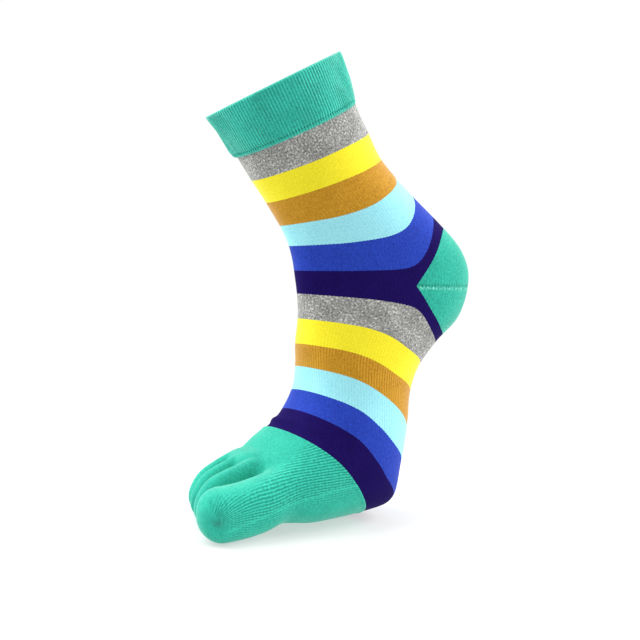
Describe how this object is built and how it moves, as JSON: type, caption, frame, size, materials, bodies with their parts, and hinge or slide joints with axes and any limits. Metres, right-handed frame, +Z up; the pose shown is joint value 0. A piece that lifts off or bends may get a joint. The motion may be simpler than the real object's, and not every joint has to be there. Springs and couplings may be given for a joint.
{
  "type": "toe sock",
  "caption": "Ankle-length knitted toe sock with a ribbed cuff, coloured stripes, a contrast heel pocket and a separate pocket for each toe, shaped as on a raised foot.",
  "frame": {"origin": "middle of the leg opening, where the sock is held up on the leg", "axes": "+Z up, toes towards -X, big-toe side towards -Y"},
  "size_m": [0.225, 0.118, 0.3241],
  "materials": {
    "teal_yarn": "soft matt cotton knit, fine vertical wales",
    "grey_yarn": "matt heather knit, light and dark flecks",
    "yellow_yarn": "matt fine knit",
    "ochre_yarn": "matt fine knit",
    "sky_yarn": "matt fine knit",
    "blue_yarn": "matt fine knit",
    "navy_yarn": "matt fine knit"
  },
  "bodies": {
    "root": {"cuff": "teal_yarn", "leg_band_grey": "grey_yarn", "leg_band_yellow": "yellow_yarn", "leg_band_ochre": "ochre_yarn", "leg_band_sky": "sky_yarn", "leg_band_blue": "blue_yarn", "ankle_band_navy": "navy_yarn", "heel_pocket": "teal_yarn", "foot_band_grey": "grey_yarn", "foot_band_yellow": "yellow_yarn", "foot_band_ochre": "ochre_yarn", "foot_band_sky": "sky_yarn", "foot_band_blue": "blue_yarn", "foot_band_navy": "navy_yarn", "toe_section": "teal_yarn", "big_toe_pocket": "teal_yarn", "second_toe_pocket": "teal_yarn", "third_toe_pocket": "teal_yarn", "fourth_toe_pocket": "teal_yarn", "little_toe_pocket": "teal_yarn"}
  },
  "joints": []
}
